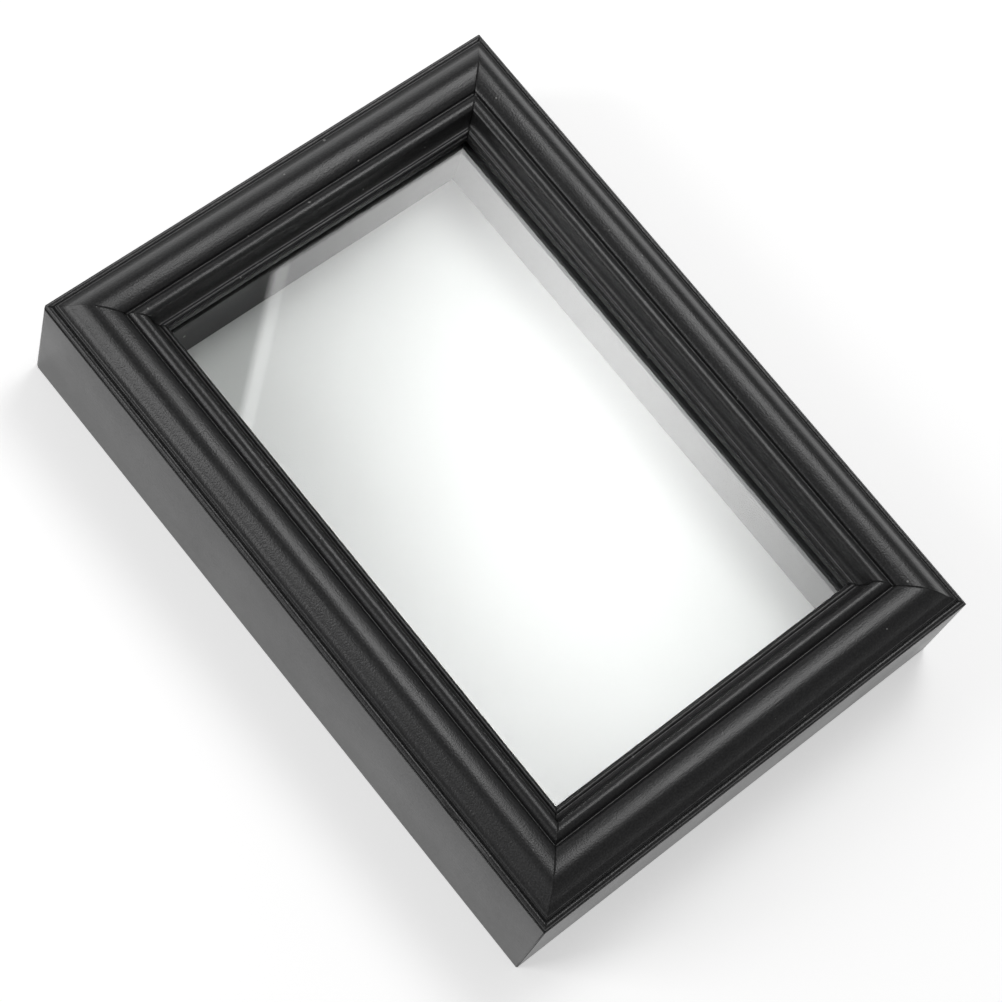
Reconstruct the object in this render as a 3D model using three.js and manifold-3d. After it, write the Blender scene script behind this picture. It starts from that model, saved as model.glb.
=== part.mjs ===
// An empty shadow-box frame: four mitred rails of a black moulding around a glass front,
// a spaced, black-lined case and a white backing board, closed at the back by a panel.
//
// Millimetres. The frame lies on its back: +Z points out of the front, +Y to the top
// rail, and the origin is at the centre of the back face.

import * as THREE from "three";
import * as BufferGeometryUtils from "three/addons/utils/BufferGeometryUtils.js";
import Module from "manifold-3d";

const wasm = await Module();
wasm.setup();

// ---------------------------------------------------------------- driving dimensions

const REBATE_WIDTH = 101.6; // the rebate takes a 4 x 6 inch glass
const REBATE_LENGTH = 152.4;
const LIP_COVER = 6; // how far the lip reaches over the glass
const FACE_WIDTH = 20.5; // from the outer side to the sight edge

const SIDE_HEIGHT = 31; // the plain outer side of the moulding
const CREST_HEIGHT = 36.35; // the top of the large ovolo
const REBATE_HEIGHT = 28.5; // from the back face to the underside of the lip

const MITRE_GAP = 0.1; // each mitre face stands this far off its plane
const FIT = 0.1; // play between pieces that lie on each other
const SIDE_PLAY = 0.4; // play of the glass and boards in the rebate
const CUT_PAST = 1; // how far each cutter runs past the face it enters

const GLASS_THICKNESS = 1.5;
const GLASS_GAP = 0.4; // open line between the lip and the glass
const LINER_HEIGHT = 16.65;
const LINER_PROUD = 0.3; // the lining stands this far inside the sight edge
const BOARD_THICKNESS = 1.5;
const EASE = 0.15; // eased edge of the sheets and strips
const PANEL_THICKNESS = 3;

const POINT_LENGTH = 15; // flat steel points that hold the panel
const POINT_WIDTH = 6;
const POINT_THICKNESS = 0.5;
const POINT_DEPTH = 8; // how far a point is driven into the rail
const POINT_CLEARANCE = 0.2;
const POINT_SPREAD = 38; // from the middle of a long rail to each of its points
const POINT_TAPER = 3;
const POINT_CORNER = 1;

const CORNER_NAIL_LEG = 5; // V nails that pull the mitres together
const CORNER_NAIL_APEX = 9; // from both outer sides to the corner of the V
const CORNER_NAIL_THICKNESS = 0.6;
const CORNER_NAIL_HEIGHT = 7;
const CORNER_NAIL_SUNK = 0.3; // driven a little below the back face
const CORNER_NAIL_CLEARANCE = 0.15;

const HANGER_LENGTH = 44; // saw-tooth hanger
const HANGER_WIDTH = 8;
const HANGER_THICKNESS = 0.8;
const HANGER_LIFT = 1.3; // the toothed middle stands this far off the panel
const HANGER_EAR = 6; // the flat ends with the nail holes
const HANGER_BEND = 1.4; // length of the slope between an ear and the middle
const HANGER_FROM_TOP = 16; // from the panel's top edge to the hanger's middle
const TOOTH_COUNT = 9;
const TOOTH_PITCH = 3;
const TOOTH_DEPTH = 1.6;

const NAIL_HEAD_RADIUS = 1.5;
const NAIL_CROWN_RADIUS = 1.05; // the flat middle of the head
const NAIL_HEAD_HEIGHT = 0.6;
const NAIL_RADIUS = 0.55;
const NAIL_IN_PANEL = 2.4;
const NAIL_CLEARANCE = 0.25;

const CURVE_STEPS = 10; // steps in each curve of the moulding
const NAIL_SIDES = 16;
const WELD = 1e-5; // vertices nearer than this are one

// ---------------------------------------------------------------- derived dimensions

const FRAME_WIDTH = REBATE_WIDTH - 2 * LIP_COVER + 2 * FACE_WIDTH;
const FRAME_LENGTH = REBATE_LENGTH - 2 * LIP_COVER + 2 * FACE_WIDTH;
const REBATE_WALL = FACE_WIDTH - LIP_COVER; // the rebate's side, from the outer side

const GLASS_TOP = REBATE_HEIGHT - GLASS_GAP;
const GLASS_BOTTOM = GLASS_TOP - GLASS_THICKNESS;
const LINER_TOP = GLASS_BOTTOM - FIT;
const LINER_BOTTOM = LINER_TOP - LINER_HEIGHT;
const BOARD_TOP = LINER_BOTTOM - FIT;
const BOARD_BOTTOM = BOARD_TOP - BOARD_THICKNESS;
const PANEL_TOP = BOARD_BOTTOM - FIT;
const PANEL_BOTTOM = PANEL_TOP - PANEL_THICKNESS;
const POINT_TOP = PANEL_BOTTOM - FIT;

const FILL_WIDTH = REBATE_WIDTH - 2 * SIDE_PLAY; // glass, board and panel
const FILL_LENGTH = REBATE_LENGTH - 2 * SIDE_PLAY;
const LINER_THICKNESS = LIP_COVER - SIDE_PLAY + LINER_PROUD;

const HANGER_TOP = PANEL_BOTTOM - FIT;
const HANGER_Y = FILL_LENGTH / 2 - HANGER_FROM_TOP;
const NAIL_X = HANGER_LENGTH / 2 - HANGER_EAR / 2;
const QUARTER_TURN = Math.PI / 2;

// ---------------------------------------------------------------- materials

const finish = (color, roughness, metalness = 0) => (
  new THREE.MeshStandardMaterial({ color, roughness, metalness })
);
const blackPaint = () => finish(0x1a1a1b, 0.42);
const blackLining = () => finish(0x242425, 0.8);
const whiteBoard = () => finish(0xeeeeec, 0.9);
const hardboard = () => finish(0x8a6440, 0.75);
const zincSteel = () => finish(0xb4b6b8, 0.35, 1);
const clearGlass = () => {
  const material = finish(0xf2f6f4, 0.03);
  material.transparent = true;
  material.opacity = 0.25;
  return material;
};

// ---------------------------------------------------------------- joining and cutting

function solidOf(geometry) {
  const bare = geometry.clone();
  bare.deleteAttribute("normal");
  bare.deleteAttribute("uv");
  const merged = BufferGeometryUtils.mergeVertices(bare, WELD);
  return new wasm.Manifold(new wasm.Mesh({
    numProp: 3,
    vertProperties: new Float32Array(merged.attributes.position.array),
    triVerts: new Uint32Array(merged.index.array),
  }));
}

function geometryOf(solid) {
  const mesh = solid.getMesh();
  const geometry = new THREE.BufferGeometry();
  geometry.setAttribute("position", new THREE.BufferAttribute(mesh.vertProperties, 3));
  geometry.setIndex(new THREE.BufferAttribute(mesh.triVerts, 1));
  return geometry;
}

function cut(geometry, tools) {
  let solid = solidOf(geometry);
  for (const tool of tools) {
    solid = solid.subtract(solidOf(tool));
  }
  return geometryOf(solid);
}

// A box given by its lowest and highest corners.
function boxBetween(low, high) {
  const size = high.map((value, axis) => value - low[axis]);
  const middle = high.map((value, axis) => (value + low[axis]) / 2);
  return new THREE.BoxGeometry(...size).translate(...middle);
}

// A flat sheet with its edges eased, centred on the Z axis.
function easedSheet(width, length, bottom, top, ease) {
  const outline = new THREE.Shape();
  const halfWidth = width / 2 - ease;
  const halfLength = length / 2 - ease;
  outline.moveTo(-halfWidth, -halfLength);
  outline.lineTo(halfWidth, -halfLength);
  outline.lineTo(halfWidth, halfLength);
  outline.lineTo(-halfWidth, halfLength);
  outline.closePath();
  const sheet = new THREE.ExtrudeGeometry(outline, {
    depth: top - bottom - 2 * ease,
    bevelThickness: ease,
    bevelSize: ease,
    bevelSegments: 1,
  });
  return sheet.translate(0, 0, bottom + ease);
}

// ---------------------------------------------------------------- the moulding

// The section of the moulding. x runs inwards from the outer side and y up from the
// back face. From the outside in: the plain side with an eased arris, a small edge
// bead, two fine steps and a fillet, the large ovolo, a quirk, the middle bead, which
// runs into a cove, the sight bead, the lip and the rebate.
function mouldingSection() {
  const section = new THREE.Shape();
  section.moveTo(0, 0);
  plainSide(section);
  edgeBead(section);
  fineSteps(section);
  ovolo(section);
  middleBead(section);
  coveAndSightBead(section);
  lipAndRebate(section);
  section.closePath();
  return section;
}

const at = (x, y) => ({ x, y });

const ARRIS = 0.1;
const EDGE_BEAD = { x: 1.17, y: SIDE_HEIGHT + 0.15, radius: 0.8, end: Math.PI / 4 };
const FIRST_STEP = {
  foot: at(1.93, SIDE_HEIGHT + 1.1),
  edge: at(1.96, SIDE_HEIGHT + 1.4),
  tread: at(2.2, SIDE_HEIGHT + 1.42),
};
const SECOND_STEP = {
  foot: at(2.27, SIDE_HEIGHT + 1.75),
  edge: at(2.32, SIDE_HEIGHT + 2.05),
  tread: at(2.62, SIDE_HEIGHT + 2.1),
};
const OVOLO = {
  start: at(3.65, SIDE_HEIGHT + 2.56),
  rise: at(5.2, CREST_HEIGHT - 1.23),
  shoulder: at(6.55, CREST_HEIGHT),
  crest: at(8.65, CREST_HEIGHT),
  brow: at(10.35, CREST_HEIGHT),
  fall: at(12.65, CREST_HEIGHT - 0.7),
  end: at(12.95, CREST_HEIGHT - 1.4),
};
const QUIRK = at(13.15, CREST_HEIGHT - 2);
const MIDDLE_BEAD = { x: 15.45, y: CREST_HEIGHT - 2.35, radius: 2, rise: 0.54, end: Math.PI / 3.6 };
const COVE = {
  brow: at(17.2, CREST_HEIGHT - 1.17),
  heel: at(17.3, CREST_HEIGHT - 4.2),
  floor: at(18.85, CREST_HEIGHT - 4.65),
};
const SIGHT_BEAD = { x: 19.45, y: CREST_HEIGHT - 4.95, radius: 0.65, end: -Math.PI / 9 };
const LIP = {
  top: at(FACE_WIDTH - 0.05, SIGHT_BEAD.y - 0.3),
  bottom: at(FACE_WIDTH, REBATE_HEIGHT + 0.9),
  corner: at(FACE_WIDTH, REBATE_HEIGHT),
  under: at(FACE_WIDTH - 0.6, REBATE_HEIGHT),
};

function plainSide(section) {
  section.lineTo(0, SIDE_HEIGHT - ARRIS);
  section.quadraticCurveTo(0, SIDE_HEIGHT, ARRIS, SIDE_HEIGHT);
}

function edgeBead(section) {
  const start = Math.PI + Math.asin((EDGE_BEAD.y - SIDE_HEIGHT) / EDGE_BEAD.radius);
  section.absarc(EDGE_BEAD.x, EDGE_BEAD.y, EDGE_BEAD.radius, start, EDGE_BEAD.end, true);
}

function fineSteps(section) {
  for (const { foot, edge, tread } of [FIRST_STEP, SECOND_STEP]) {
    section.lineTo(foot.x, foot.y);
    section.quadraticCurveTo(edge.x, edge.y, tread.x, tread.y);
  }
}

function ovolo(section) {
  const { start, rise, shoulder, crest, brow, fall, end } = OVOLO;
  section.lineTo(start.x, start.y);
  section.bezierCurveTo(rise.x, rise.y, shoulder.x, shoulder.y, crest.x, crest.y);
  section.bezierCurveTo(brow.x, brow.y, fall.x, fall.y, end.x, end.y);
}

function middleBead(section) {
  const { x, y, radius, rise, end } = MIDDLE_BEAD;
  const start = Math.PI - Math.asin(rise / radius);
  section.quadraticCurveTo(QUIRK.x, QUIRK.y, x + radius * Math.cos(start), y + rise);
  section.absarc(x, y, radius, start, end, true);
}

function coveAndSightBead(section) {
  const { brow, heel, floor } = COVE;
  section.bezierCurveTo(brow.x, brow.y, heel.x, heel.y, floor.x, floor.y);
  const { x, y, radius, end } = SIGHT_BEAD;
  const start = Math.PI - Math.asin((floor.y - y) / radius);
  section.absarc(x, y, radius, start, end, true);
}

function lipAndRebate(section) {
  section.lineTo(LIP.top.x, LIP.top.y);
  section.lineTo(LIP.bottom.x, LIP.bottom.y);
  section.quadraticCurveTo(LIP.corner.x, LIP.corner.y, LIP.under.x, LIP.under.y);
  section.lineTo(REBATE_WALL, REBATE_HEIGHT);
  section.lineTo(REBATE_WALL, 0);
}

// A rail with its outer side on x = 0 and its length along Y. Both ends are mitred by
// sliding each end vertex along the rail by its distance from the outer side.
function mitredRail(length) {
  const rail = new THREE.ExtrudeGeometry(mouldingSection(), {
    depth: length,
    bevelEnabled: false,
    curveSegments: CURVE_STEPS,
  });
  const places = rail.attributes.position;
  for (let i = 0; i < places.count; i += 1) {
    const inset = places.getX(i) + MITRE_GAP;
    const nearEnd = places.getZ(i) < length / 2;
    places.setZ(i, nearEnd ? inset : length - inset);
  }
  return rail.rotateX(QUARTER_TURN).translate(0, length / 2, 0);
}

// The slot that a steel point is driven into.
function pointSlot(y) {
  const deepest = REBATE_WALL - POINT_DEPTH - POINT_CLEARANCE;
  const halfWidth = POINT_WIDTH / 2 + POINT_CLEARANCE;
  const low = POINT_TOP - POINT_THICKNESS - POINT_CLEARANCE;
  const high = POINT_TOP + POINT_CLEARANCE;
  return boxBetween([deepest, y - halfWidth, low], [REBATE_WALL + CUT_PAST, y + halfWidth, high]);
}

// The L-shaped outline of a V nail with its corner at the apex and its legs running
// back towards the outer sides. `grow` widens it all round to make its slot.
function cornerNailOutline(signX, signY, grow) {
  const inner = CORNER_NAIL_THICKNESS / 2 + grow;
  const reach = CORNER_NAIL_LEG + grow;
  const points = [
    [inner, inner],
    [-reach, inner],
    [-reach, -inner],
    [-inner, -inner],
    [-inner, -reach],
    [inner, -reach],
  ];
  return new THREE.Shape(points.map(([x, y]) => new THREE.Vector2(signX * x, signY * y)));
}

function cornerNailSlot(length, signY) {
  const slot = new THREE.ExtrudeGeometry(cornerNailOutline(1, signY, CORNER_NAIL_CLEARANCE), {
    depth: CUT_PAST + CORNER_NAIL_SUNK + CORNER_NAIL_HEIGHT + CORNER_NAIL_CLEARANCE,
    bevelEnabled: false,
  });
  return slot.translate(CORNER_NAIL_APEX, signY * (CORNER_NAIL_APEX - length / 2), -CUT_PAST);
}

function railGeometry(length, pointPlaces) {
  return cut(mitredRail(length), [
    ...pointPlaces.map(pointSlot),
    cornerNailSlot(length, 1),
    cornerNailSlot(length, -1),
  ]);
}

// ---------------------------------------------------------------- the filling

const glassGeometry = () => easedSheet(FILL_WIDTH, FILL_LENGTH, GLASS_BOTTOM, GLASS_TOP, EASE);
const boardGeometry = () => easedSheet(FILL_WIDTH, FILL_LENGTH, BOARD_BOTTOM, BOARD_TOP, EASE);
const linerGeometry = (width, length) => easedSheet(width, length, LINER_BOTTOM, LINER_TOP, EASE);

function panelGeometry() {
  const panel = easedSheet(FILL_WIDTH, FILL_LENGTH, PANEL_BOTTOM, PANEL_TOP, EASE);
  const holes = [-NAIL_X, NAIL_X].map((x) => nailHole(x, PANEL_BOTTOM - CUT_PAST, PANEL_TOP - FIT));
  return cut(panel, holes);
}

function nailHole(x, bottom, top) {
  const radius = NAIL_RADIUS + NAIL_CLEARANCE;
  const hole = new THREE.CylinderGeometry(radius, radius, top - bottom, NAIL_SIDES);
  return hole.rotateX(QUARTER_TURN).translate(x, HANGER_Y, (top + bottom) / 2);
}

// ---------------------------------------------------------------- the fixings

// A flat steel point, blunt where it shows and tapered where it is driven in.
function pointGeometry() {
  const half = POINT_WIDTH / 2;
  const shown = POINT_LENGTH - POINT_DEPTH;
  const upperEdge = [
    [shown, half - POINT_CORNER],
    [shown - POINT_CORNER, half],
    [POINT_TAPER - POINT_DEPTH, half],
    [-POINT_DEPTH, half / 3],
  ];
  const lowerEdge = upperEdge.map(([x, y]) => [x, -y]).reverse();
  const outline = new THREE.Shape([...upperEdge, ...lowerEdge].map(([x, y]) => new THREE.Vector2(x, y)));
  return new THREE.ExtrudeGeometry(outline, { depth: POINT_THICKNESS, bevelEnabled: false });
}

function cornerNailGeometry(signX, signY) {
  return new THREE.ExtrudeGeometry(cornerNailOutline(signX, signY, 0), {
    depth: CORNER_NAIL_HEIGHT,
    bevelEnabled: false,
  });
}

// The strip seen from its edge: ears flat on the panel and a lifted middle.
function hangerSideOutline() {
  const end = HANGER_LENGTH / 2;
  const bendOuter = end - HANGER_EAR;
  const bendInner = bendOuter - HANGER_BEND;
  const innerFace = [
    [end, 0],
    [bendOuter, 0],
    [bendInner, -HANGER_LIFT],
    [-bendInner, -HANGER_LIFT],
    [-bendOuter, 0],
    [-end, 0],
  ];
  const outerFace = innerFace.map(([x, y]) => [x, y - HANGER_THICKNESS]).reverse();
  return new THREE.Shape([...innerFace, ...outerFace].map(([x, y]) => new THREE.Vector2(x, y)));
}

function toothNotch(index) {
  const x = (index - (TOOTH_COUNT - 1) / 2) * TOOTH_PITCH;
  const half = TOOTH_PITCH / 2;
  const edge = HANGER_Y - HANGER_WIDTH / 2;
  const depth = HANGER_LIFT + HANGER_THICKNESS + CUT_PAST;
  const notch = new THREE.Shape();
  notch.moveTo(x, edge + TOOTH_DEPTH);
  notch.lineTo(x - half, edge);
  notch.lineTo(x - half, edge - CUT_PAST);
  notch.lineTo(x + half, edge - CUT_PAST);
  notch.lineTo(x + half, edge);
  notch.closePath();
  const geometry = new THREE.ExtrudeGeometry(notch, { depth, bevelEnabled: false });
  return geometry.translate(0, 0, HANGER_TOP - depth);
}

function hangerGeometry() {
  const strip = new THREE.ExtrudeGeometry(hangerSideOutline(), {
    depth: HANGER_WIDTH,
    bevelEnabled: false,
  });
  strip.rotateX(QUARTER_TURN).translate(0, HANGER_Y + HANGER_WIDTH / 2, HANGER_TOP);
  const notches = Array.from({ length: TOOTH_COUNT }, (_, index) => toothNotch(index));
  const holeBottom = HANGER_TOP - HANGER_THICKNESS - CUT_PAST;
  const holes = [-NAIL_X, NAIL_X].map((x) => nailHole(x, holeBottom, HANGER_TOP + CUT_PAST));
  return cut(strip, [...notches, ...holes]);
}

// A round-headed nail standing on its head, with the tip of its shank upwards.
function nailGeometry() {
  const shankTop = NAIL_HEAD_HEIGHT + FIT + HANGER_THICKNESS + FIT + NAIL_IN_PANEL;
  const profile = [
    new THREE.Vector2(0, 0),
    new THREE.Vector2(NAIL_CROWN_RADIUS, 0),
    new THREE.Vector2(NAIL_HEAD_RADIUS, NAIL_HEAD_HEIGHT / 2),
    new THREE.Vector2(NAIL_HEAD_RADIUS, NAIL_HEAD_HEIGHT),
    new THREE.Vector2(NAIL_RADIUS, NAIL_HEAD_HEIGHT),
    new THREE.Vector2(NAIL_RADIUS, shankTop - 2 * NAIL_RADIUS),
    new THREE.Vector2(0, shankTop),
  ];
  return new THREE.LatheGeometry(profile, NAIL_SIDES).rotateX(QUARTER_TURN);
}

// ---------------------------------------------------------------- the assembly

const frame = new THREE.Group();

function place(name, geometry, material, x = 0, y = 0, z = 0, turn = 0) {
  const mesh = new THREE.Mesh(geometry, material);
  mesh.name = name;
  mesh.position.set(x, y, z);
  mesh.rotation.z = turn;
  frame.add(mesh);
}

function addRails() {
  const longRail = () => railGeometry(FRAME_LENGTH, [-POINT_SPREAD, POINT_SPREAD]);
  const shortRail = () => railGeometry(FRAME_WIDTH, [0]);
  const sideX = FRAME_WIDTH / 2;
  const endY = FRAME_LENGTH / 2;
  place("rail_left", longRail(), blackPaint(), -sideX);
  place("rail_right", longRail(), blackPaint(), sideX, 0, 0, 2 * QUARTER_TURN);
  place("rail_bottom", shortRail(), blackPaint(), 0, -endY, 0, QUARTER_TURN);
  place("rail_top", shortRail(), blackPaint(), 0, endY, 0, -QUARTER_TURN);
}

function addFilling() {
  const sideX = FILL_WIDTH / 2 - LINER_THICKNESS / 2;
  const endY = FILL_LENGTH / 2 - LINER_THICKNESS / 2;
  const endLength = FILL_WIDTH - 2 * LINER_THICKNESS - 2 * FIT;
  place("glass", glassGeometry(), clearGlass());
  place("liner_left", linerGeometry(LINER_THICKNESS, FILL_LENGTH), blackLining(), -sideX);
  place("liner_right", linerGeometry(LINER_THICKNESS, FILL_LENGTH), blackLining(), sideX);
  place("liner_bottom", linerGeometry(endLength, LINER_THICKNESS), blackLining(), 0, -endY);
  place("liner_top", linerGeometry(endLength, LINER_THICKNESS), blackLining(), 0, endY);
  place("backing_board", boardGeometry(), whiteBoard());
  place("back_panel", panelGeometry(), hardboard());
}

function addPoints() {
  const z = POINT_TOP - POINT_THICKNESS;
  const wallX = FRAME_WIDTH / 2 - REBATE_WALL;
  const wallY = FRAME_LENGTH / 2 - REBATE_WALL;
  for (const [level, y] of [["low", -POINT_SPREAD], ["high", POINT_SPREAD]]) {
    place(`point_left_${level}`, pointGeometry(), zincSteel(), -wallX, y, z);
    place(`point_right_${level}`, pointGeometry(), zincSteel(), wallX, y, z, 2 * QUARTER_TURN);
  }
  place("point_bottom", pointGeometry(), zincSteel(), 0, -wallY, z, QUARTER_TURN);
  place("point_top", pointGeometry(), zincSteel(), 0, wallY, z, -QUARTER_TURN);
}

function addCornerNails() {
  const x = FRAME_WIDTH / 2 - CORNER_NAIL_APEX;
  const y = FRAME_LENGTH / 2 - CORNER_NAIL_APEX;
  for (const [name, signX, signY] of [
    ["corner_nail_low_left", -1, -1],
    ["corner_nail_low_right", 1, -1],
    ["corner_nail_high_left", -1, 1],
    ["corner_nail_high_right", 1, 1],
  ]) {
    const nail = cornerNailGeometry(-signX, -signY);
    place(name, nail, zincSteel(), signX * x, signY * y, CORNER_NAIL_SUNK);
  }
}

function addHanger() {
  const headZ = HANGER_TOP - HANGER_THICKNESS - FIT - NAIL_HEAD_HEIGHT;
  place("hanger", hangerGeometry(), zincSteel());
  place("hanger_nail_left", nailGeometry(), zincSteel(), -NAIL_X, HANGER_Y, headZ);
  place("hanger_nail_right", nailGeometry(), zincSteel(), NAIL_X, HANGER_Y, headZ);
}

addRails();
addFilling();
addPoints();
addCornerNails();
addHanger();

export default frame;
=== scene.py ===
"""An empty black shadow-box frame, lying on its back on a pale table under a softbox.

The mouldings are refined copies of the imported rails. The glass, lining, boards and
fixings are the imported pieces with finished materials. Metres throughout.
"""

import math

import bpy
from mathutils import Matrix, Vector


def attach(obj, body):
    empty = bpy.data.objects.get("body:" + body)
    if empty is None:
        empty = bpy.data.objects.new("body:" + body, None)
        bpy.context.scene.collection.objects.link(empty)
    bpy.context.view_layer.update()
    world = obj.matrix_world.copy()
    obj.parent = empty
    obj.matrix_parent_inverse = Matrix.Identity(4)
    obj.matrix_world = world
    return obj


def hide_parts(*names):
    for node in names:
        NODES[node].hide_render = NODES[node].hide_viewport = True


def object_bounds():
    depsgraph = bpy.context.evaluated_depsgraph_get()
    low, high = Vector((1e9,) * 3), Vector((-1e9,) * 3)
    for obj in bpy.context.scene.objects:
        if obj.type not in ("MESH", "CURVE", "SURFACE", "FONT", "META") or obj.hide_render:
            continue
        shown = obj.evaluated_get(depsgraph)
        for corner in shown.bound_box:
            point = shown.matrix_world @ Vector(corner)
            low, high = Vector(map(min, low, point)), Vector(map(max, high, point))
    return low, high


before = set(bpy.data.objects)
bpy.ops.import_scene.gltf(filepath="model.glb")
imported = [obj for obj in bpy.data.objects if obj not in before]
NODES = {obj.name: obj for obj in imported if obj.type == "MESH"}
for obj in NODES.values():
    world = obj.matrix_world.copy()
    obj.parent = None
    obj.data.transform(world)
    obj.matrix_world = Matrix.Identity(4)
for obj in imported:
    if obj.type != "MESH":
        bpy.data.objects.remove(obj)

MM = 0.001
CAD_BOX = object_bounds()

# ---------------------------------------------------------------- camera and lights

CAMERA_PLACE = (-0.2700, -0.1330, 0.6559)
CAMERA_TURN = (22.494, -10.975, -39.605)
CAMERA_LENS = 108.5

SOFTBOX_HEIGHT = 0.85
SOFTBOX_EDGE = (0.299, 0.319)  # the middle of the edge that the glass mirrors
SOFTBOX_EDGE_ANGLE = 40.6  # direction of that edge on plan, from +X
SOFTBOX_SIZE = (0.56, 0.38)  # along and across that edge
SOFTBOX_RADIANCE = 7.6  # at the middle of its glow
SOFTBOX_RIM = 0.47  # share of that in the bright hem round its edge
SOFTBOX_HEM = 0.012
CLOTH_REACH = 0.22  # from the glow's middle to where the cloth is dimmest
CLOTH_EDGE = 0.27  # share of the middle's radiance that is left there
SOFTBOX_OFFSET = 0.05  # the glow's middle, moved along that edge
SOFTBOX_DRAW = 0.38  # the glow is drawn out along that edge

SIDE_PANEL_PLACE = (-0.98, 0.56, 0.60)
SIDE_PANEL_SIZE = (0.48, 0.78)
SIDE_PANEL_RADIANCE = 4.4

BACK_PANEL_PLACE = (0.35, 1.10, 0.30)
BACK_PANEL_SIZE = (1.30, 0.60)
BACK_PANEL_RADIANCE = 0.4

ROOM_LIGHT = 0.20
TABLE_GLOW = 0.50


def add_camera():
    data = bpy.data.cameras.new("camera")
    data.lens = CAMERA_LENS
    data.sensor_width = 36
    data.clip_start = 0.01
    camera = bpy.data.objects.new("camera", data)
    camera.location = CAMERA_PLACE
    camera.rotation_euler = [math.radians(a) for a in CAMERA_TURN]
    bpy.context.scene.collection.objects.link(camera)
    bpy.context.scene.camera = camera


def glow_from_middle(light):
    """A softbox's cloth: bright in the middle, dimmer outwards, with a bright hem."""
    light.use_nodes = True
    nt = light.node_tree
    emission = nt.nodes["Emission"]
    place = nt.nodes.new("ShaderNodeNewGeometry")
    split = nt.nodes.new("ShaderNodeSeparateXYZ")
    nt.links.new(place.outputs["Parametric"], split.inputs[0])
    from_middle = []
    from_edge = []
    for axis, size, offset, draw in (
        (0, light.size, SOFTBOX_OFFSET, SOFTBOX_DRAW),
        (1, light.size_y, 0.0, 1.0),
    ):
        centred = maths(nt, "SUBTRACT", split.outputs[axis], 0.5)
        metres = maths(nt, "MULTIPLY", centred, size)
        drawn = maths(nt, "MULTIPLY", maths(nt, "SUBTRACT", metres, offset), draw)
        from_middle.append(maths(nt, "MULTIPLY", drawn, drawn))
        outwards = maths(nt, "ABSOLUTE", metres, 0.0)
        from_edge.append(maths(nt, "SUBTRACT", size / 2, outwards))
    radius = maths(nt, "SQRT", maths(nt, "ADD", *from_middle), 0.0)
    cloth = remap(nt, radius, 0.0, CLOTH_REACH, 1.0, CLOTH_EDGE)
    cloth.node.interpolation_type = "SMOOTHSTEP"
    edge = maths(nt, "MINIMUM", *from_edge)
    hem = remap(nt, edge, SOFTBOX_HEM * 1.3, SOFTBOX_HEM * 0.7, 0.0, SOFTBOX_RIM)
    lit = maths(nt, "MAXIMUM", cloth, hem)
    fade = remap(nt, edge, 0.0, SOFTBOX_HEM * 0.4)
    nt.links.new(maths(nt, "MULTIPLY", lit, fade), emission.inputs["Strength"])


def add_panel(name, place, size, radiance, facing, turn=0.0):
    """A flat light of the given radiance, with its face along `facing`."""
    data = bpy.data.lights.new(name, "AREA")
    data.shape = "RECTANGLE"
    data.size, data.size_y = size
    data.energy = radiance * math.pi * size[0] * size[1]
    panel = bpy.data.objects.new(name, data)
    panel.location = place
    look = Vector(facing).to_track_quat("-Z", "Y").to_matrix().to_4x4()
    panel.rotation_euler = look.to_euler()
    panel.rotation_euler.rotate_axis("Z", turn)
    panel.visible_camera = False
    bpy.context.scene.collection.objects.link(panel)
    return data


def add_lights():
    angle = math.radians(SOFTBOX_EDGE_ANGLE)
    across = Vector((math.sin(angle), -math.cos(angle)))
    middle = Vector(SOFTBOX_EDGE) + across * SOFTBOX_SIZE[1] / 2
    place = (middle.x, middle.y, SOFTBOX_HEIGHT)
    softbox = add_panel("softbox", place, SOFTBOX_SIZE, SOFTBOX_RADIANCE, (0, 0, -1), angle)
    glow_from_middle(softbox)
    for name, place, size, radiance in (
        ("side_panel", SIDE_PANEL_PLACE, SIDE_PANEL_SIZE, SIDE_PANEL_RADIANCE),
        ("back_panel_light", BACK_PANEL_PLACE, BACK_PANEL_SIZE, BACK_PANEL_RADIANCE),
    ):
        add_panel(name, place, size, radiance, -Vector(place))
    world = bpy.data.worlds.new("room")
    world.use_nodes = True
    background = world.node_tree.nodes["Background"]
    background.inputs["Color"].default_value = (1, 1, 1, 1)
    background.inputs["Strength"].default_value = ROOM_LIGHT
    bpy.context.scene.world = world


# ---------------------------------------------------------------- shader groups


def new_group(name, inputs, outputs):
    """An empty shader group. Inputs are (name, kind, default), outputs (name, kind)."""
    group = bpy.data.node_groups.new(name, "ShaderNodeTree")
    for label, kind, default in inputs:
        socket = group.interface.new_socket(label, in_out="INPUT", socket_type=kind)
        if default is not None:
            socket.default_value = default
    for label, kind in outputs:
        group.interface.new_socket(label, in_out="OUTPUT", socket_type=kind)
    start = group.nodes.new("NodeGroupInput")
    end = group.nodes.new("NodeGroupOutput")
    return group, start, end


def noise(nt, vector, scale, detail=4.0, roughness=0.55):
    node = nt.nodes.new("ShaderNodeTexNoise")
    node.inputs["Scale"].default_value = scale
    node.inputs["Detail"].default_value = detail
    node.inputs["Roughness"].default_value = roughness
    nt.links.new(vector, node.inputs["Vector"])
    return node


def remap(nt, value, low, high, to_low=0.0, to_high=1.0):
    node = nt.nodes.new("ShaderNodeMapRange")
    node.inputs["From Min"].default_value = low
    node.inputs["From Max"].default_value = high
    node.inputs["To Min"].default_value = to_low
    node.inputs["To Max"].default_value = to_high
    nt.links.new(value, node.inputs["Value"])
    return node.outputs["Result"]


def maths(nt, operation, first, second):
    node = nt.nodes.new("ShaderNodeMath")
    node.operation = operation
    for socket, value in zip(node.inputs, (first, second)):
        if isinstance(value, (int, float)):
            socket.default_value = value
        else:
            nt.links.new(value, socket)
    return node.outputs[0]


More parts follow.
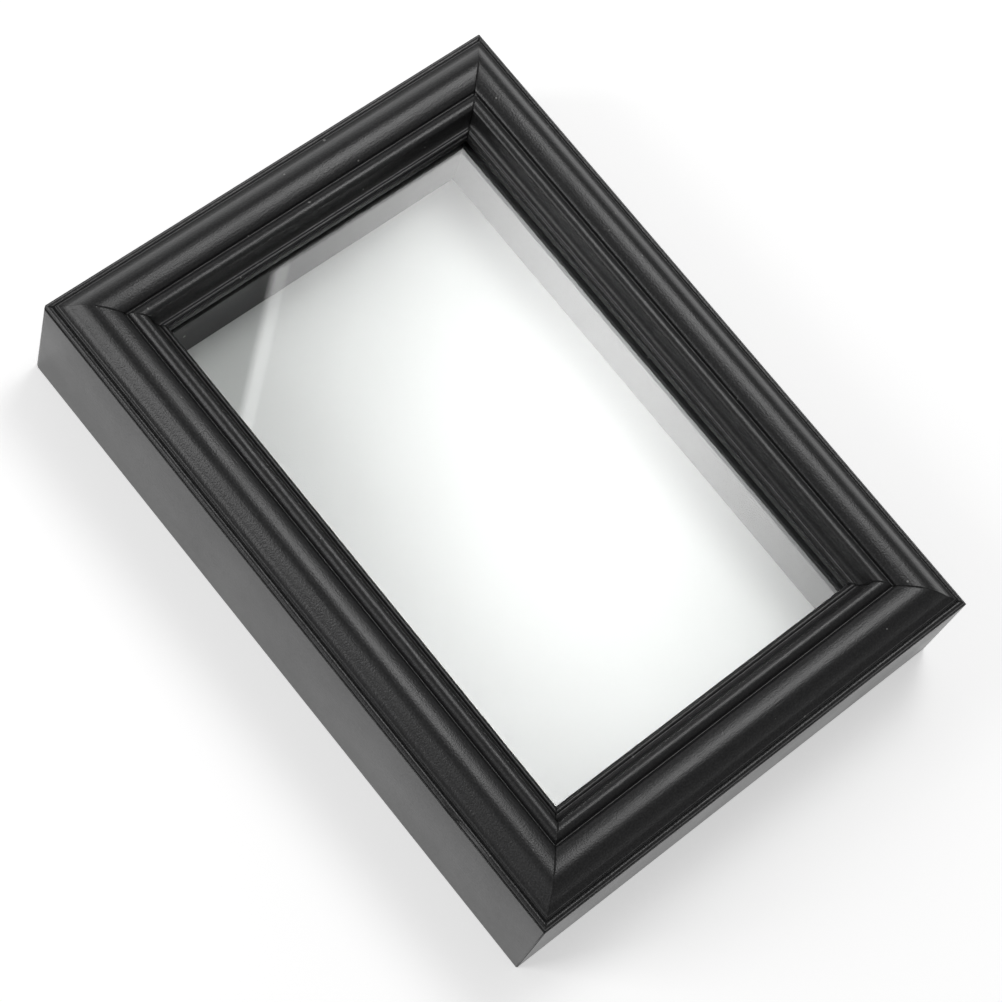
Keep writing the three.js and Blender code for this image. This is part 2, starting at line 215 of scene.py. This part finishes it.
def mix_colour(nt, factor, first, second):
    node = nt.nodes.new("ShaderNodeMix")
    node.data_type = "RGBA"
    sockets = [s for s in node.inputs if s.type == "RGBA"]
    for socket, value in zip((node.inputs["Factor"], *sockets), (factor, first, second)):
        if isinstance(value, (tuple, float)):
            socket.default_value = value
        else:
            nt.links.new(value, socket)
    return next(s for s in node.outputs if s.type == "RGBA")


def make_dust_group():
    """Fine pale specks that settle on faces that look up, fewer on upright ones."""
    group, start, end = new_group(
        "dust",
        [
            ("Vector", "NodeSocketVector", None),
            ("Spacing", "NodeSocketFloat", 300.0),
            ("Size", "NodeSocketFloat", 0.12),
            ("Share", "NodeSocketFloat", 0.2),
            ("Upright Share", "NodeSocketFloat", 0.3),
        ],
        [("Mask", "NodeSocketFloat")],
    )
    cells = group.nodes.new("ShaderNodeTexVoronoi")
    group.links.new(start.outputs["Vector"], cells.inputs["Vector"])
    group.links.new(start.outputs["Spacing"], cells.inputs["Scale"])
    colour = group.nodes.new("ShaderNodeSeparateColor")
    group.links.new(cells.outputs["Color"], colour.inputs[0])
    facing = group.nodes.new("ShaderNodeNewGeometry")
    split = group.nodes.new("ShaderNodeSeparateXYZ")
    group.links.new(facing.outputs["Normal"], split.inputs[0])
    up = remap(group, split.outputs["Z"], 0.1, 0.9)
    spare = maths(group, "SUBTRACT", 1.0, start.outputs["Upright Share"])
    settled = maths(group, "MULTIPLY_ADD", up, spare)
    group.links.new(start.outputs["Upright Share"], settled.node.inputs[2])
    share = maths(group, "MULTIPLY", settled, start.outputs["Share"])
    chosen = maths(group, "LESS_THAN", colour.outputs[0], share)
    reach = maths(group, "MULTIPLY", colour.outputs[1], start.outputs["Size"])
    inside = maths(group, "LESS_THAN", cells.outputs["Distance"], reach)
    mask = maths(group, "MULTIPLY", chosen, inside)
    group.links.new(mask, end.inputs["Mask"])
    return group


def make_grain_group():
    """Pores and low ridges of wood drawn out along one axis, and a slow mottle."""
    group, start, end = new_group(
        "wood_grain",
        [
            ("Vector", "NodeSocketVector", None),
            ("Pore Scale", "NodeSocketFloat", 1500.0),
            ("Mottle Scale", "NodeSocketFloat", 60.0),
        ],
        [("Height", "NodeSocketFloat"), ("Mottle", "NodeSocketFloat")],
    )
    stretch = group.nodes.new("ShaderNodeVectorMath")
    stretch.operation = "MULTIPLY"
    stretch.inputs[1].default_value = (1.0, 0.045, 1.0)
    group.links.new(start.outputs["Vector"], stretch.inputs[0])
    pores = noise(group, stretch.outputs[0], 1500.0, 3.0, 0.6)
    group.links.new(start.outputs["Pore Scale"], pores.inputs["Scale"])
    specks = noise(group, start.outputs["Vector"], 4200.0, 2.0, 0.5)
    height = maths(group, "MULTIPLY_ADD", specks.outputs["Fac"], 0.7)
    group.links.new(pores.outputs["Fac"], height.node.inputs[2])
    mottle = noise(group, start.outputs["Vector"], 60.0, 5.0, 0.6)
    group.links.new(start.outputs["Mottle Scale"], mottle.inputs["Scale"])
    group.links.new(height, end.inputs["Height"])
    group.links.new(mottle.outputs["Fac"], end.inputs["Mottle"])
    return group


def make_wear_and_highlight_group():
    """Paint rubbed thin along proud edges, in patches, with a painted highlight: those edges are
    coloured lighter where the surface is pointy.
    """
    group, start, end = new_group(
        "edge_wear_and_highlight",
        [
            ("Vector", "NodeSocketVector", None),
            ("Patch Scale", "NodeSocketFloat", 220.0),
            ("Edge", "NodeSocketFloat", 0.6),
        ],
        [("Mask", "NodeSocketFloat")],
    )
    shape = group.nodes.new("ShaderNodeNewGeometry")
    proud = maths(group, "SUBTRACT", shape.outputs["Pointiness"], start.outputs["Edge"])
    edge = remap(group, proud, 0.0, 0.08)
    patches = noise(group, start.outputs["Vector"], 220.0, 4.0, 0.65)
    group.links.new(start.outputs["Patch Scale"], patches.inputs["Scale"])
    patchy = remap(group, patches.outputs["Fac"], 0.50, 0.68)
    group.links.new(maths(group, "MULTIPLY", edge, patchy), end.inputs["Mask"])
    return group


# ---------------------------------------------------------------- materials


def new_material(name):
    material = bpy.data.materials.new(name)
    material.use_nodes = True
    nt = material.node_tree
    shader = nt.nodes["Principled BSDF"]
    coordinates = nt.nodes.new("ShaderNodeTexCoord")
    return material, nt, shader, coordinates.outputs["Object"]


def place_group(nt, group, vector, **values):
    node = nt.nodes.new("ShaderNodeGroup")
    node.node_tree = group
    nt.links.new(vector, node.inputs["Vector"])
    for label, value in values.items():
        node.inputs[label.replace("_", " ").title()].default_value = value
    return node


def bump(nt, shader, height, strength, distance):
    node = nt.nodes.new("ShaderNodeBump")
    node.inputs["Strength"].default_value = strength
    node.inputs["Distance"].default_value = distance
    nt.links.new(height, node.inputs["Height"])
    nt.links.new(node.outputs["Normal"], shader.inputs["Normal"])


def black_paint(name, turn):
    """Satin black paint over wood: grain along the rail, fine stipple, dust, and edge wear that
    also paints highlights on proud edges.

    `turn` lays the grain along Y or X.
    """
    material, nt, shader, place = new_material(name)
    turned = nt.nodes.new("ShaderNodeMapping")
    turned.inputs["Rotation"].default_value[2] = turn
    nt.links.new(place, turned.inputs["Vector"])
    grain = place_group(nt, GRAIN, turned.outputs["Vector"], pore_scale=1900.0, mottle_scale=45.0)
    dust = place_group(nt, DUST, place, spacing=420.0, size=0.16, share=0.10, upright_share=0.2)
    flecks = place_group(nt, DUST, place, spacing=130.0, size=0.055, share=0.06, upright_share=0.3)
    # Mask of proud edges, partly rubbed paint and partly a painted highlight along them
    wear = place_group(nt, WEAR_AND_HIGHLIGHT, place, patch_scale=260.0, edge=0.60)
    stipple = noise(nt, place, 2400.0, 1.0, 0.5)
    spots = remap(nt, stipple.outputs["Fac"], 0.35, 0.70)
    base = mix_colour(nt, spots, (0.011, 0.011, 0.0115, 1), (0.027, 0.027, 0.0275, 1))
    # Lighter colour on those edges: wear and a painted highlight in one
    worn = mix_colour(nt, wear.outputs["Mask"], base, (0.11, 0.108, 0.104, 1))
    pale = maths(nt, "MAXIMUM", dust.outputs["Mask"], flecks.outputs["Mask"])
    colour = mix_colour(nt, pale, worn, (0.24, 0.24, 0.235, 1))
    nt.links.new(colour, shader.inputs["Base Color"])
    rough = remap(nt, grain.outputs["Mottle"], 0.3, 0.7, 0.29, 0.36)
    nt.links.new(maths(nt, "MAXIMUM", rough, pale), shader.inputs["Roughness"])
    height = maths(nt, "MULTIPLY_ADD", stipple.outputs["Fac"], 0.6)
    nt.links.new(maths(nt, "MULTIPLY", grain.outputs["Height"], 0.5), height.node.inputs[2])
    bump(nt, shader, height, 0.5, 0.00014)
    return material


def clear_glass():
    material, nt, shader, place = new_material("clear_glass")
    shader.inputs["Base Color"].default_value = (0.985, 0.995, 0.99, 1)
    shader.inputs["Transmission Weight"].default_value = 1.0
    shader.inputs["Roughness"].default_value = 0.0
    shader.inputs["IOR"].default_value = 1.52
    paths = nt.nodes.new("ShaderNodeLightPath")
    through = nt.nodes.new("ShaderNodeBsdfTransparent")
    through.inputs["Color"].default_value = (0.90, 0.92, 0.91, 1)
    mixed = nt.nodes.new("ShaderNodeMixShader")
    nt.links.new(paths.outputs["Is Shadow Ray"], mixed.inputs[0])
    nt.links.new(shader.outputs[0], mixed.inputs[1])
    nt.links.new(through.outputs[0], mixed.inputs[2])
    nt.links.new(mixed.outputs[0], nt.nodes["Material Output"].inputs["Surface"])
    return material


def black_lining():
    """Matt black wood strips with scattered lint."""
    material, nt, shader, place = new_material("black_lining")
    grain = place_group(nt, GRAIN, place, pore_scale=1100.0, mottle_scale=50.0)
    dust = place_group(nt, DUST, place, spacing=330.0, size=0.17, share=0.16, upright_share=0.9)
    dark, light = (0.020, 0.020, 0.021, 1), (0.034, 0.034, 0.035, 1)
    base = mix_colour(nt, grain.outputs["Mottle"], dark, light)
    colour = mix_colour(nt, dust.outputs["Mask"], base, (0.35, 0.35, 0.34, 1))
    nt.links.new(colour, shader.inputs["Base Color"])
    rough = remap(nt, grain.outputs["Mottle"], 0.3, 0.7, 0.62, 0.74)
    nt.links.new(rough, shader.inputs["Roughness"])
    bump(nt, shader, grain.outputs["Height"], 0.5, 0.00002)
    return material


def white_board():
    """Matt white card with a faint fibre and a slow unevenness."""
    material, nt, shader, place = new_material("white_board")
    tone = noise(nt, place, 35.0, 3.0)
    fibre = noise(nt, place, 1800.0, 4.0, 0.65)
    colour = mix_colour(nt, tone.outputs["Fac"], (0.67, 0.67, 0.665, 1), (0.71, 0.71, 0.705, 1))
    nt.links.new(colour, shader.inputs["Base Color"])
    rough = remap(nt, fibre.outputs["Fac"], 0.3, 0.7, 0.82, 0.92)
    nt.links.new(rough, shader.inputs["Roughness"])
    bump(nt, shader, fibre.outputs["Fac"], 0.25, 0.00004)
    return material


def hardboard():
    """Bare brown hardboard: short matted fibres, darker flecks and a slight sheen."""
    material, nt, shader, place = new_material("hardboard")
    fibre = noise(nt, place, 900.0, 6.0, 0.7)
    fleck = noise(nt, place, 2600.0, 2.0, 0.5)
    tone = noise(nt, place, 25.0, 4.0, 0.6)
    base = mix_colour(nt, tone.outputs["Fac"], (0.20, 0.105, 0.045, 1), (0.32, 0.18, 0.085, 1))
    dark = remap(nt, fleck.outputs["Fac"], 0.60, 0.72)
    colour = mix_colour(nt, dark, base, (0.09, 0.045, 0.02, 1))
    nt.links.new(colour, shader.inputs["Base Color"])
    nt.links.new(remap(nt, fibre.outputs["Fac"], 0.3, 0.7, 0.55, 0.75), shader.inputs["Roughness"])
    bump(nt, shader, fibre.outputs["Fac"], 0.5, 0.00008)
    return material


def zinc_steel():
    """Zinc-plated sheet steel with a soft spangle and fine rolling marks."""
    material, nt, shader, place = new_material("zinc_steel")
    shader.inputs["Metallic"].default_value = 1.0
    spangle = nt.nodes.new("ShaderNodeTexVoronoi")
    spangle.inputs["Scale"].default_value = 900.0
    nt.links.new(place, spangle.inputs["Vector"])
    stretch = nt.nodes.new("ShaderNodeMapping")
    stretch.inputs["Scale"].default_value = (0.05, 1.0, 1.0)
    nt.links.new(place, stretch.inputs["Vector"])
    marks = noise(nt, stretch.outputs["Vector"], 5000.0, 2.0, 0.5)
    tone = nt.nodes.new("ShaderNodeSeparateColor")
    nt.links.new(spangle.outputs["Color"], tone.inputs[0])
    colour = mix_colour(nt, tone.outputs[0], (0.50, 0.51, 0.52, 1), (0.64, 0.65, 0.65, 1))
    nt.links.new(colour, shader.inputs["Base Color"])
    nt.links.new(remap(nt, marks.outputs["Fac"], 0.3, 0.7, 0.28, 0.44), shader.inputs["Roughness"])
    bump(nt, shader, marks.outputs["Fac"], 0.2, 0.00002)
    return material


def table_top():
    material, nt, shader, place = new_material("table_top")
    tone = noise(nt, place, 6.0, 2.0)
    colour = mix_colour(nt, tone.outputs["Fac"], (0.90, 0.90, 0.90, 1), (0.92, 0.92, 0.92, 1))
    nt.links.new(colour, shader.inputs["Base Color"])
    shader.inputs["Roughness"].default_value = 0.9
    shader.inputs["Emission Color"].default_value = (1, 1, 1, 1)
    shader.inputs["Emission Strength"].default_value = TABLE_GLOW
    return material


def finish(obj, material):
    obj.data.materials.clear()
    obj.data.materials.append(material)


# ---------------------------------------------------------------- the mouldings

EDGE_ROUND = 0.13 * MM
MITRE_LINE = 0.03 * MM  # how far along the rail each mitre is cut off its plane
MITRE_LOOPS = (0.4 * MM, 1.6 * MM)  # the same, for the loops beside it
JOIN_DISTANCE = 0.003 * MM  # vertices nearer than this after a cut are one
COPY_JOIN = 0.002 * MM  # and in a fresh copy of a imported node
FLAT_ANGLE = 0.4  # degrees; faces nearer to one plane than this are made one
EASED_ANGLE = 35  # edges sharper than this are eased
SMOOTH_ANGLE = 40  # edges sharper than this stay sharp in shading
OVERRUN = 1.5 * MM  # how far the moulding runs past its mitres before they are cut
STATION = 18 * MM  # spacing of the cross-sections along a rail
CORNER_FLATS = 9
CORNER_ROUND = 0.45 * MM
WORN_CORNER_ROUND = 1.3 * MM

# Dents in the outer arris: the rail, the place, half the length along Y, the depth, the lean.
CHIPS = (
    ("left", (-0.0648, -0.0600, 0.0318), 0.0011, 0.00045, (0.0, 0.2, 0.1)),
    ("left", (-0.0652, -0.0580, 0.0312), 0.0006, 0.00030, (0.1, 0.0, 0.2)),
)


def only(obj):
    bpy.ops.object.select_all(action="DESELECT")
    obj.select_set(True)
    bpy.context.view_layer.objects.active = obj


def merge_close():
    """Joins vertices that a cut or a bevel has left almost on each other."""
    bpy.ops.mesh.select_all(action="SELECT")
    bpy.ops.mesh.remove_doubles(threshold=JOIN_DISTANCE)


def slice_all(places, normals, clear=True):
    """Cuts the active mesh by planes. With `clear`, the side a normal points to goes."""
    bpy.ops.object.mode_set(mode="EDIT")
    for place, normal in zip(places, normals):
        bpy.ops.mesh.select_all(action="SELECT")
        bpy.ops.mesh.bisect(plane_co=place, plane_no=normal, use_fill=clear, clear_outer=clear)
        merge_close()
    bpy.ops.object.mode_set(mode="OBJECT")


def copy_of(node, name):
    """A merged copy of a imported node, with its own mesh."""
    source = NODES[node]
    piece = bpy.data.objects.new(name, source.data.copy())
    bpy.context.scene.collection.objects.link(piece)
    only(piece)
    bpy.ops.object.mode_set(mode="EDIT")
    bpy.ops.mesh.select_all(action="SELECT")
    bpy.ops.mesh.remove_doubles(threshold=COPY_JOIN)
    bpy.ops.mesh.dissolve_limited(angle_limit=math.radians(FLAT_ANGLE))
    bpy.ops.object.mode_set(mode="OBJECT")
    return piece


def stretch(piece, axis, length):
    """Lengthens a rail past both mitres. Its section stays as it is."""
    only(piece)
    bpy.ops.object.mode_set(mode="EDIT")
    bpy.ops.mesh.select_all(action="SELECT")
    factors = [1.0, 1.0, 1.0]
    factors[axis] = 1 + 2 * OVERRUN / length
    bpy.ops.transform.resize(value=factors, center_override=(0, 0, 0))
    bpy.ops.object.mode_set(mode="OBJECT")


def ease_edges(piece):
    """Rounds off the section's sharp edges along the rail."""
    bevel = piece.modifiers.new("eased", "BEVEL")
    bevel.width = EDGE_ROUND
    bevel.segments = 2
    bevel.limit_method = "ANGLE"
    bevel.angle_limit = math.radians(EASED_ANGLE)
    only(piece)
    bpy.ops.object.modifier_apply(modifier="eased")
    bpy.ops.object.mode_set(mode="EDIT")
    merge_close()
    bpy.ops.object.mode_set(mode="OBJECT")


def add_stations(piece, axis, length):
    """Loops across a rail at even steps, so shading along it is even."""
    only(piece)
    count = int(length / 2 / STATION) - 1
    places = []
    for step in range(-count, count + 1):
        place = [0.0, 0.0, 0.0]
        place[axis] = step * STATION
        places.append(place)
    normal = [float(i == axis) for i in range(3)]
    slice_all(places, [normal] * len(places), clear=False)


def mitre_planes(piece, axis, inset):
    """A plane at each end of a rail, parallel to its mitre and `inset` along from it."""
    low, high = CAD_BOX
    across = 1 - axis
    outer = high if piece.data.vertices[0].co[across] > 0 else low
    side = math.copysign(1, outer[across])
    places = []
    normals = []
    for end, sign in ((low, -1), (high, 1)):
        place = [0.0, 0.0, 0.0]
        place[across] = outer[across]
        place[axis] = end[axis] - sign * inset
        normal = [0.0, 0.0, 0.0]
        normal[axis] = float(sign)
        normal[across] = -side
        places.append(place)
        normals.append(normal)
    return places, normals


def cut_mitres(piece, axis):
    """Cuts both ends back to their mitres, through the corners of the frame."""
    only(piece)
    slice_all(*mitre_planes(piece, axis, MITRE_LINE))


def add_mitre_loops(piece, axis):
    """Loops close beside both mitres, so shading runs evenly up to them."""
    only(piece)
    for inset in MITRE_LOOPS:
        slice_all(*mitre_planes(piece, axis, inset), clear=False)


def round_corner(piece, corner, radius):
    """Takes the outer corner of a rail's end down to a round, in narrow flats."""
    sides = [math.copysign(1, value) for value in corner]
    centre = [value - side * radius for value, side in zip(corner, sides)]
    only(piece)
    places = []
    normals = []
    for step in range(CORNER_FLATS):
        angle = math.radians(90) * (step + 0.5) / CORNER_FLATS
        normal = (sides[0] * math.cos(angle), sides[1] * math.sin(angle), 0)
        places.append((centre[0] + radius * normal[0], centre[1] + radius * normal[1], 0))
        normals.append(normal)
    slice_all(places, normals)


def chip_edge(piece, place, across, deep, lean):
    """Takes a shallow scoop out of an arris."""
    bpy.ops.object.select_all(action="DESELECT")
    bpy.ops.mesh.primitive_ico_sphere_add(subdivisions=2, radius=1, location=place)
    scoop = bpy.context.object
    scoop.scale = (deep, across, deep)
    scoop.rotation_euler = lean
    carve = piece.modifiers.new("chip", "BOOLEAN")
    carve.operation = "DIFFERENCE"
    carve.solver = "EXACT"
    carve.object = scoop
    only(piece)
    bpy.ops.object.modifier_apply(modifier="chip")
    bpy.data.objects.remove(scoop)


def make_mouldings():
    low, high = CAD_BOX
    long_paint = black_paint("black_paint_long", 0.0)
    short_paint = black_paint("black_paint_short", math.pi / 2)
    for side, paint, axis in (
        ("left", long_paint, 1),
        ("right", long_paint, 1),
        ("bottom", short_paint, 0),
        ("top", short_paint, 0),
    ):
        node = f"rail_{side}"
        length = high[axis] - low[axis]
        piece = copy_of(node, f"moulding_{side}")
        stretch(piece, axis, length)
        ease_edges(piece)
        add_stations(piece, axis, length)
        cut_mitres(piece, axis)
        for x in (low.x, high.x):
            for y in (low.y, high.y):
                worn = x == low.x and y == high.y
                round_corner(piece, (x, y), WORN_CORNER_ROUND if worn else CORNER_ROUND)
        add_mitre_loops(piece, axis)
        for chip_side, *chip in CHIPS:
            if chip_side == side:
                chip_edge(piece, *chip)
        only(piece)
        bpy.ops.object.shade_smooth_by_angle(angle=math.radians(SMOOTH_ANGLE))
        finish(piece, paint)
        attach(piece, "root")
        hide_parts(node)


# ---------------------------------------------------------------- the rest of the frame


def finish_packed_nodes():
    glass = clear_glass()
    lining = black_lining()
    steel = zinc_steel()
    finish(NODES["glass"], glass)
    finish(NODES["backing_board"], white_board())
    finish(NODES["back_panel"], hardboard())
    for name, node in NODES.items():
        if name.startswith("liner_"):
            finish(node, lining)
        if name.startswith(("point_", "corner_nail_", "hanger")):
            finish(node, steel)


TABLE_SIZE = 6.0
TABLE_GAP = 0.1 * MM  # keeps the table's face clear of the frame's back


def make_table():
    bpy.ops.object.select_all(action="DESELECT")
    bpy.ops.mesh.primitive_plane_add(size=TABLE_SIZE, location=(0, 0, -TABLE_GAP))
    table = bpy.context.object
    table.name = "table"
    finish(table, table_top())


DUST = make_dust_group()
GRAIN = make_grain_group()
WEAR_AND_HIGHLIGHT = make_wear_and_highlight_group()

add_camera()
add_lights()
bpy.context.scene.view_settings.view_transform = "Standard"
make_mouldings()
finish_packed_nodes()
make_table()
